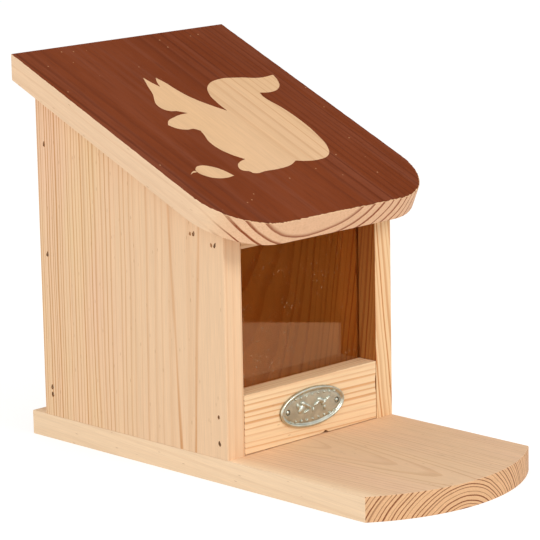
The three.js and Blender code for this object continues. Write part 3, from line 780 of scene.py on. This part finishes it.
class FEEDER_OT_paint(bpy.types.Operator):
    """Lays the film of paint on the roof, with the figure left bare"""

    bl_idname = "feeder.paint"
    bl_label = "Roof paint"

    def execute(self, context):
        sizes = context.scene.feeder_sizes
        rng = random.Random(5)
        low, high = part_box("roof_board")
        half, corner, inset = high.x, sizes.roof_corner, sizes.edge_round * 0.8
        length = (high.y - low.y) / cos(ROOF_SLOPE)
        # The brush left a ragged edge along the front, and a nearly straight one along the sides
        steps, side_steps = 60, 50
        left, right = front_corners(half, corner, inset, steps)
        front = [((half - corner) * (2 * i / steps - 1), inset) for i in range(1, steps)]
        ragged = [
            (x + rng.uniform(-0.25, 0.25) * MM, y + rng.uniform(-0.25, 0.6) * MM) for x, y in [*left, *front, *right]
        ]
        side = [
            (half - inset + rng.uniform(-0.1, 0.12) * MM, corner + (length - corner) * i / side_steps)
            for i in range(1, side_steps)
        ]
        back = [(half - inset, length - inset), (inset - half, length - inset)]
        outline = [*ragged, *side, *back, *[(-x, y) for x, y in reversed(side)]]
        front_edge = Vector((0, high.y, high.z)) - UP_SLOPE * length
        place = Matrix.Translation(front_edge) @ Matrix.Rotation(ROOF_SLOPE, 4, "X")
        bm = sheet_from([outline], (SQUIRREL, ACORN, STEM), sizes.paint_film, 0, place)
        piece("roof_paint", bm, "paint", "roof_lid")
        return {"FINISHED"}


class FEEDER_OT_pane(bpy.types.Operator):
    """Builds the clear pane with its cut edges eased"""

    bl_idname = "feeder.pane"
    bl_label = "Clear pane"

    def execute(self, context):
        low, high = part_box("window_pane")
        corners = [(low.x, low.z), (high.x, low.z), (high.x, high.z), (low.x, high.z)]
        bm = drawn_out(corners, 1, low.y, high.y)
        ease_edges(bm, SHEET_EDGE)
        piece("clear_pane", bm, "acrylic", "box", ["window_pane"])
        return {"FINISHED"}


# The oval plate's section from its back edge inwards: how far in from the outline, and how high, in millimetres
OVAL_SECTION = [
    (0.15, 0), (0, 0.2), (0, 0.9), (0.12, 1.25), (0.4, 1.55), (0.8, 1.68), (1.2, 1.6), (1.5, 1.38), (1.75, 1.05),
    (2.0, 0.82), (2.3, 0.72), (2.7, 0.74), (3.1, 0.82), (4.0, 0.86),
]
FIELD = OVAL_SECTION[-1][1] * MM
# The sprig's swellings: place, turn in degrees, and half sizes along, across and up, in millimetres
SPRIG = [
    (-8.2, 0.2, 50, 2.9, 1.8, 1.25), (-6.6, 2.4, 50, 1.5, 2.3, 1.375), (-3.4, 0.8, -35, 2.6, 1.1, 1),
    (-4.4, -1.8, 20, 2.2, 0.9, 0.875), (-10.6, 1.8, 100, 2.0, 0.8, 0.875), (3.2, 1.2, 28, 2.6, 1.0, 1),
    (6.0, 2.0, -30, 2.9, 1.6, 1.25), (8.0, 0.8, -30, 1.3, 2.1, 1.375), (10.8, 2.2, 30, 2.2, 0.8, 0.875),
    (8.6, -2.0, 100, 1.6, 0.8, 0.875), (0.2, -1.6, 80, 1.4, 0.5, 0.8125),
]
# Each bead's half sizes
BEAD = (0.85, 0.45, 0.75)


class FEEDER_OT_badge(bpy.types.Operator):
    """Builds the oval metal plate, with a plain acorn sprig in low relief, and its two pins"""

    bl_idname = "feeder.badge"
    bl_label = "Oval plate"

    def execute(self, context):
        low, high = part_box("badge_plate")
        wide, tall = (high.x - low.x) / 2, (high.z - low.z) / 2
        centre = middle_of("badge_plate")
        centre.y = high.y
        place = Matrix.Translation(centre) @ TO_FRONT
        bm = bmesh.new()
        ring = bmesh.ops.create_circle(bm, cap_ends=False, segments=96, radius=1)["verts"]
        edges = bottom = bm.edges[:]
        inset, height = OVAL_SECTION[0]
        bmesh.ops.scale(bm, vec=(wide - inset * MM, tall - inset * MM, 1), verts=ring)
        for next_inset, next_height in OVAL_SECTION[1:]:
            grown = bmesh.ops.extrude_edge_only(bm, edges=edges)["geom"]
            ring = verts_in(grown)
            edges = [e for e in edges_in(grown) if all(v in ring for v in e.verts)]
            scale = [(half - next_inset * MM) / (half - inset * MM) for half in (wide, tall)]
            bmesh.ops.scale(bm, vec=(*scale, 1), verts=ring)
            bmesh.ops.translate(bm, vec=(0, 0, (next_height - height) * MM), verts=ring)
            inset, height = next_inset, next_height
        for rim in (edges, bottom):
            bmesh.ops.contextual_create(bm, geom=rim)
        bmesh.ops.transform(bm, matrix=place, verts=bm.verts)
        plate = piece("oval_plate", bm, "pewter", "box", ["badge_plate"])

        # Each pin is a domed head in a flared well, with a tapered shank behind it
        wells, pins = bmesh.new(), bmesh.new()
        for name in SIDES:
            pin = middle_of(f"badge_pin_{name}")
            well, shank = (Matrix.Translation((pin.x, centre.y + y * MM, pin.z)) @ TO_FRONT for y in (-1.25, 3.6))
            cone(wells, 32, 1.5 * MM, 1.75 * MM, 2 * MM, well)
            head = bmesh.ops.create_uvsphere(pins, u_segments=24, v_segments=12, radius=1.1 * MM)["verts"]
            bmesh.ops.scale(pins, vec=(1, 0.7, 1), verts=head)
            bmesh.ops.translate(pins, vec=(pin.x, centre.y - 0.5 * MM, pin.z), verts=head)
            cone(pins, 16, 0.25 * MM, 0.6 * MM, 9 * MM, shank)
        cut_with(plate, wells, "pewter")
        piece("plate_pins", pins, "pewter", "box", ["badge_pin_left", "badge_pin_right"])

        # Two acorns among leaves, and a row of beads over and under them, all low swellings on the plate's field
        relief = bmesh.new()
        swellings = list(SPRIG)
        row_wide, row_tall = (wide / MM - 5.2) * 1.6, tall / MM - 3.9
        for i in range(-5, 6):
            # The beads stand 8.5 degrees apart
            at = radians(90 + i * 8.5)
            x, y = row_wide * cos(at), row_tall * sin(at)
            swellings += [(x, way * y, i * 40, *BEAD) for way in (-1, 1)]
        for x, y, angle, along, across, up in swellings:
            ball = bmesh.ops.create_uvsphere(relief, u_segments=16, v_segments=10, radius=1)["verts"]
            laid = Matrix.Translation((x * MM, y * MM, FIELD)) @ Matrix.Rotation(radians(angle), 4, "Z")
            size = Matrix.Diagonal((along * MM, across * MM, up * MM, 1))
            bmesh.ops.transform(relief, matrix=laid @ size, verts=ball)
        bmesh.ops.transform(relief, matrix=place, verts=relief.verts)
        piece("plate_relief", relief, "pewter", "box", smooth=50)
        return {"FINISHED"}


# Countersunk screws: the head's radius, the shank's radius and the length
HINGE_SCREW = (2.2 * MM, 1.2 * MM, 9 * MM)
HANGER_SCREW = (2.8 * MM, 1.4 * MM, 9 * MM)


def countersink(screws, size):
    """Shapes that cut the seats of screws in the back, a little wider than their heads."""
    radius, shank, _ = size
    bm = bmesh.new()
    for screw in screws:
        seat = Matrix.Translation(head_of(screw, Y) - Y * 0.65 * MM) @ TO_BACK
        cone(bm, 32, shank - 0.1 * MM, radius + 0.25 * MM, 1.6 * MM, seat)
    return bm


def screw_at(bm, place, radius, shank, length):
    """A countersunk screw: its outline spun round, its head's top at the place."""
    outline = [
        (0, -length), (shank * 0.35, -length * 0.97), (shank, -length * 0.78), (shank, -radius * 0.62),
        (radius, -0.18 * MM), (radius, -0.06 * MM), (radius * 0.93, 0), (0, 0),
    ]
    others = set(bm.verts)
    spun_round(bm, [(r, 0, z) for r, z in outline], (0, 0, 0), Z, 32, closed=False)
    bmesh.ops.transform(bm, matrix=place, verts=[v for v in bm.verts if v not in others])


def drive_cross(bm, place, reach, width, depth):
    """The shape of a cross recess, tapering as it goes in."""
    half = width / 2
    arm = [(half, half), (reach, half), (reach, -half)]
    quarters = ((1, 0), (0, 1), (-1, 0), (0, -1))
    plus, edges = outline_in(bm, [(x * c + y * s, y * c - x * s, depth) for c, s in quarters for x, y in arm])
    flat = bmesh.ops.contextual_create(bm, geom=edges)["faces"]
    tip = verts_in(bmesh.ops.extrude_face_region(bm, geom=flat)["geom"])
    bmesh.ops.translate(bm, vec=(0, 0, -2 * depth), verts=tip)
    bmesh.ops.scale(bm, vec=(0.45, 0.45, 1), verts=tip)
    bmesh.ops.transform(bm, matrix=place, verts=plus + tip)


def screw_set(name, nodes, size, body, seed):
    """A set of like screws in the back, each turned its own way, with cross recesses."""
    rng = random.Random(seed)
    bm, cross = bmesh.new(), bmesh.new()
    for node in nodes:
        turn = Matrix.Rotation(rng.uniform(0, pi / 2), 4, "Z")
        place = Matrix.Translation(head_of(node, Y)) @ TO_BACK @ turn
        screw_at(bm, place, *size)
        drive_cross(cross, place, reach=size[0] * 0.58, width=0.42 * MM, depth=0.75 * MM)
    cut_with(piece(name, bm, "zinc", body, nodes), cross, "zinc")


def hinge_leaf(name, leaf, body, way, axis, pin_r):
    """One leaf of a hinge, with its knuckles and screws. Its way is -1 down or 1 up from the hinge's axis."""
    # The middle knuckle's half length, the gap beside it, and the leaf's thickness and corner
    knuckle, gap, thick, corner = 6 * MM, 0.3 * MM, 1 * MM, 2.5 * MM
    node = f"{name}_hinge_{leaf}_leaf"
    low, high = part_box(node)
    half = (high.x - low.x) / 2
    outer_r = high.y - axis.y
    clear = outer_r + gap
    reach = high.z - axis.z if way > 0 else axis.z - low.z
    if way > 0:
        near = [(-half, clear), (gap - knuckle, clear), (gap - knuckle, 0)]
        stretches = [(gap - knuckle, knuckle - gap)]
    else:
        near = [(-half, 0), (-knuckle, 0), (-knuckle, clear)]
        stretches = [(-half, -knuckle), (knuckle, half)]
    far = arc((half, reach - corner), (half - corner, reach - corner), pi / 2, 6)
    profile = near + [(-x, z) for x, z in reversed(near)] + far + [(-x, z) for x, z in reversed(far)]
    bm = drawn_out([(axis.x + x, axis.z + way * z) for x, z in profile], 1, low.y, low.y + thick)
    ease_edges(bm, SHEET_EDGE, only=lambda e: all(v.co.y > low.y + thick / 2 for v in e.verts))
    obj = piece(f"{name}_{leaf}_leaf_plate", bm, "zinc", body, [node])
    screws = nodes_like(f"{name}_hinge_{leaf}_screw")
    cut_with(obj, countersink(screws, HINGE_SCREW), "zinc")
    # A knuckle's end, from its bore to its outside
    rim = [(0, pin_r + 0.1 * MM), (0.15 * MM, outer_r - 0.12 * MM), (0.3 * MM, outer_r)]
    for i, (start, end) in enumerate(stretches):
        tube = bmesh.new()
        section = [(start + x, r) for x, r in rim] + [(end - x, r) for x, r in reversed(rim)]
        spun_round(tube, [(axis.x + x, axis.y + r, axis.z) for x, r in section], axis, X, 40, closed=True)
        piece(f"{name}_{leaf}_knuckle_{i + 1}", tube, "zinc", body)
    screw_set(f"{name}_{leaf}_hinge_screws", screws, HINGE_SCREW, body, len(node) + way)


class FEEDER_OT_hinges(bpy.types.Operator):
    """Builds the two butt hinges: leaves, knuckles, pins and screws"""

    bl_idname = "feeder.hinges"
    bl_label = "Hinges"

    def execute(self, context):
        for name in SIDES:
            low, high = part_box(f"{name}_hinge_pin")
            axis, radius = (low + high) / 2, (high.z - low.z) / 2
            hinge_leaf(name, "lower", "box", -1, axis, radius)
            hinge_leaf(name, "upper", "roof_lid", 1, axis, radius)
            rod = bmesh.new()
            lying = Matrix.Translation(axis) @ Matrix.Rotation(pi / 2, 4, "Y")
            cone(rod, 32, radius, radius, high.x - low.x, lying)
            ease_edges(rod, 0.2 * MM, segments=3, least=60)
            piece(f"{name}_hinge_rod", rod, "zinc", "box", [f"{name}_hinge_pin"])
        return {"FINISHED"}


class FEEDER_OT_hanger(bpy.types.Operator):
    """Builds the keyhole plate and its two screws"""

    bl_idname = "feeder.hanger"
    bl_label = "Keyhole plate"

    def execute(self, context):
        low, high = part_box("hanger_plate")
        middle = (low + high) / 2
        half, tall = (high.x - low.x) / 2, (high.z - low.z) / 2
        straight = tall - half
        stadium = arc((half, straight), (0, straight), pi, 32) + arc((-half, -straight), (0, -straight), pi, 32)
        # The keyhole: a round entry, below the plate's middle by drop, and a slot that ends rise over the entry
        entry_r, slot_r, drop, rise = 4.5 * MM, 2.2 * MM, 5 * MM, 11 * MM
        bend = asin(slot_r / entry_r)
        entry = arc((-slot_r, sqrt(entry_r**2 - slot_r**2) - drop), (0, -drop), 2 * pi - 2 * bend, 32)
        slot = arc((slot_r, rise - drop), (0, rise - drop), pi, 16)
        # Turns the plate's face to the back, and keeps its top up
        upright = Matrix(((-1, 0, 0, 0), (0, 0, 1, 0), (0, 1, 0, 0), (0, 0, 0, 1)))
        place = Matrix.Translation((middle.x, low.y, middle.z)) @ upright
        bm = sheet_from([stadium, entry + slot], [], high.y - low.y, SHEET_EDGE, place)
        obj = piece("keyhole_plate", bm, "zinc", "box", ["hanger_plate"])
        screws = ["hanger_screw_lower", "hanger_screw_upper"]
        cut_with(obj, countersink(screws, HANGER_SCREW), "zinc")
        screw_set("keyhole_plate_screws", screws, HANGER_SCREW, "box", 9)
        return {"FINISHED"}


class FEEDER_OT_frame_finishes(bpy.types.Operator):
    """Gives the boards and nails that stay as they are their finishes"""

    bl_idname = "feeder.frame_finishes"
    bl_label = "Frame finishes"

    def execute(self, context):
        looks = {"back_panel": "back", "inner_top_strip": "strip"}
        looks.update({n: "nail" for n in nodes_like("left_side_brad", "right_side_brad", "base_brad")})
        for name, look in looks.items():
            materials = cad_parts[name].data.materials
            materials.clear()
            materials.append(finish(look))
        return {"FINISHED"}


# The camera's place, and how it is turned
EYE = Vector((-1.01695, -1.02261, 0.40766))
VIEW = Matrix((
    (0.709745, 0.160919, -0.685833),
    (-0.704211, 0.136241, -0.696797),
    (-0.01869, 0.977519, 0.210017),
))
# The picture's width and height in pixels
PICTURE = 540


def soft_lamp(name, power, size, place):
    """A square lamp that faces the feeder."""
    lamp = bpy.data.lights.new(name, "AREA")
    lamp.energy = power
    lamp.size = size
    obj = linked(name, lamp)
    obj.location = place
    obj.rotation_euler = (Vector((0, 0, 0.1)) - Vector(place)).to_track_quat("-Z", "Y").to_euler()


def seen_directly(add):
    """1 for a ray from the camera, a mirroring or through the pane, and 0 for the rays that only light."""
    path = add("LightPath")
    seen = path.outputs["Is Camera Ray"]
    for other in ("Is Glossy Ray", "Is Transmission Ray"):
        seen = add("Math MAXIMUM", (seen, path.outputs[other]))
    return seen


def mirrored(camera, box, height):
    """The corners, at a height over the floor, of what the pane mirrors in a part of the picture."""
    left, top, right, bottom = box
    focal = camera.lens / camera.sensor_width * PICTURE
    behind = Vector((EYE.x, 2 * PANE_FRONT - EYE.y, EYE.z))
    corners = []
    for x, y in ((left, top), (right, top), (right, bottom), (left, bottom)):
        ray = VIEW @ Vector((x - PICTURE / 2, PICTURE / 2 - y, -focal))
        ray.y = -ray.y
        corners.append(behind + ray * ((height - behind.z) / ray.z))
    return corners


def card(name, corners, colour="#000000", strength=0, through=False):
    """A card that only mirrors show, and clear sheets when through is set, as a sheet's second face needs. It paints a
    reflection in its colour and strength; black with none.
    """
    bm = bmesh.new()
    bmesh.ops.contextual_create(bm, geom=outline_in(bm, corners)[1])
    obj = meshed(name, bm)
    material, add = new_material(name)
    add("OutputMaterial", (add("Emission", (linear(colour), strength)),))
    obj.data.materials.append(material)
    obj.visible_camera = obj.visible_diffuse = obj.visible_shadow = False
    obj.visible_transmission = through


class FEEDER_OT_stage(bpy.types.Operator):
    """Sets up the white floor, the soft light and the camera"""

    bl_idname = "feeder.stage"
    bl_label = "Stage"

    def execute(self, context):
        scene = context.scene
        light = scene.feeder_light
        scene.view_settings.view_transform = "Standard"

        camera = bpy.data.cameras.new("camera")
        camera.lens = 193.031
        camera.sensor_width = 36
        camera.clip_end = 50
        scene.camera = linked("camera", camera)
        scene.camera.matrix_world = Matrix.Translation(EYE) @ VIEW.to_4x4()

        world = scene.world = bpy.data.worlds.new("studio")
        world.use_nodes = True
        world.node_tree.nodes.clear()
        add = partial(add_node, world.node_tree)
        level = add("MapRange", (seen_directly(add), 0, 1, light.sky, 1))
        add("OutputWorld", (add("Background", (linear("#FFFFFF"), level)),))

        bm = bmesh.new()
        bmesh.ops.create_circle(bm, cap_ends=True, segments=96, radius=12)
        floor = meshed("floor", bm)
        material, add = new_material("white_floor")
        matt = add("BsdfDiffuse", (linear("#C4C4C4"),))
        glow = add("MapRange", (seen_directly(add), 0, 1, light.floor, 0.62))
        both = add("AddShader", (matt, add("Emission", (linear("#FFFFFF"), glow))))
        add("OutputMaterial", (both,))
        floor.data.materials.append(material)

        # Black cards behind and to the right, that only mirrors show, paint a dark reflection where the roof and the
        # base board mirror the room
        card("painted_dark_reflection", [(3.0, -0.6, -0.2), (3.0, 3.6, -0.2), (3.0, 3.6, 4.0), (3.0, -0.6, 4.0)])
        card("painted_dark_reflection_back", [(3.0, 3.6, -0.2), (-0.8, 3.6, -0.2), (-0.8, 3.6, 4.0), (3.0, 3.6, 4.0)])
        # Painted reflections in the pane: where it mirrors the floor in front, a black card makes it dark and, lower
        # down, a glowing warm card makes it warm
        card("painted_dark_pane_reflection", mirrored(camera, (225, 215, 415, 386), 0.002), through=True)
        card("painted_warm_pane_reflection", mirrored(camera, (236, 322.7, 341, 386), 0.004), "#FACDA6", 1.1, through=True)

        soft_lamp("key", light.key, 1.2, (-1.7, -0.5, 0.8))
        soft_lamp("fill", light.fill, 0.6, (0.1, -1.55, 1.2))
        return {"FINISHED"}


STEPS = (
    FEEDER_OT_base, FEEDER_OT_walls, FEEDER_OT_rail, FEEDER_OT_roof, FEEDER_OT_paint, FEEDER_OT_pane,
    FEEDER_OT_badge, FEEDER_OT_hinges, FEEDER_OT_hanger, FEEDER_OT_frame_finishes, FEEDER_OT_stage,
)


class FEEDER_PT_panel(bpy.types.Panel):
    """Lists the feeder's steps"""

    bl_label = "Squirrel feeder box"
    bl_space_type = "VIEW_3D"
    bl_region_type = "UI"
    bl_category = "Feeder"

    def draw(self, context):
        for group in (getattr(context.scene, name) for name in GROUPS):
            for name in group.__annotations__:
                self.layout.prop(group, name)
        for step in STEPS:
            self.layout.operator(step.bl_idname)


CLASSES = (*GROUPS.values(), *STEPS, FEEDER_PT_panel)


def register():
    for cls in CLASSES:
        bpy.utils.register_class(cls)
    for name, group in GROUPS.items():
        setattr(bpy.types.Scene, name, PointerProperty(type=group))


def unregister():
    for name in GROUPS:
        delattr(bpy.types.Scene, name)
    for cls in reversed(CLASSES):
        bpy.utils.unregister_class(cls)


def main():
    register()
    for step in STEPS:
        getattr(bpy.ops.feeder, step.bl_idname.split(".")[1])()


if __name__ == "__main__":
    main()
